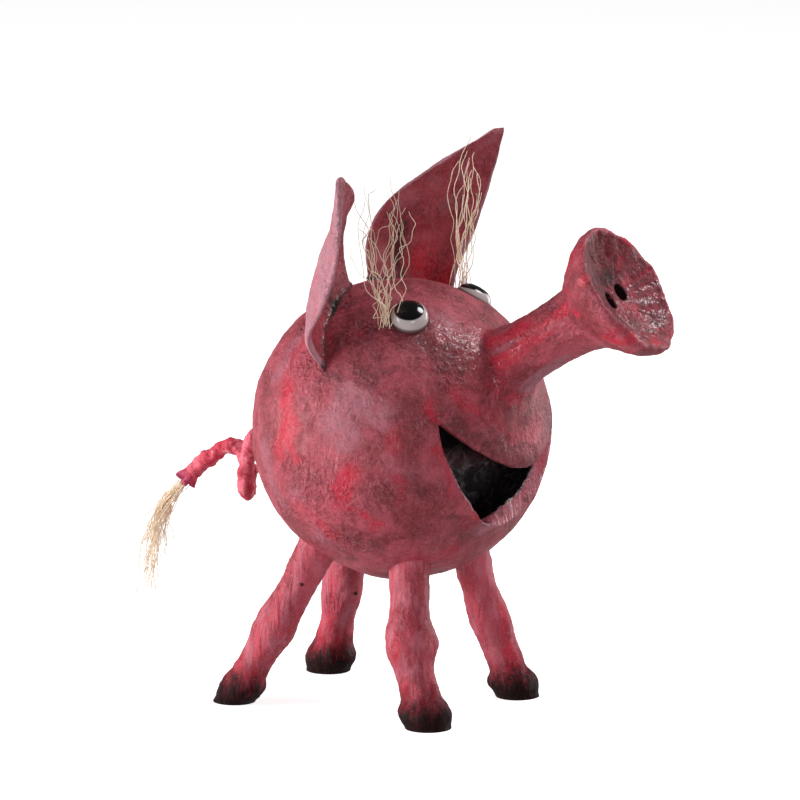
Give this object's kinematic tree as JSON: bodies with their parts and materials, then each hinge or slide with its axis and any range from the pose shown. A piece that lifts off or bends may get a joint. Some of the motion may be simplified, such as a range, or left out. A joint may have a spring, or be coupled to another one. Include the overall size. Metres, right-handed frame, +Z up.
{
  "type": "pig figurine",
  "caption": "Standing pig figurine with a hollow ball body, open mouth, trumpet snout, cupped ears, hooved legs, curled tail and straw tufts.",
  "frame": {"origin": "on the floor plane of the soles, under the centre of the bounding box", "axes": "+X forward towards the snout, +Y to the pig's left, +Z up"},
  "size_m": [0.3082, 0.1512, 0.2825],
  "materials": {
    "body_paint": "hand-painted rose papier-mache, satin varnish",
    "ear_paint": "hand-painted dark rose papier-mache, satin",
    "leg_paint": "hand-painted rose papier-mache, dark hooves",
    "tail_paint": "coral red twisted paper",
    "eye_gloss": "glossy white with a black pupil",
    "straw_fibre": "undyed plant fibre"
  },
  "bodies": {
    "root": {"body": "body_paint", "ear_left": "ear_paint", "ear_right": "ear_paint", "eye_left": "eye_gloss", "eye_right": "eye_gloss", "brow_tuft_left": "straw_fibre", "brow_tuft_right": "straw_fibre", "leg_front_right": "leg_paint", "leg_front_left": "leg_paint", "leg_hind_right": "leg_paint", "leg_hind_left": "leg_paint", "tail": "tail_paint", "tail_tassel": "straw_fibre"}
  },
  "joints": []
}
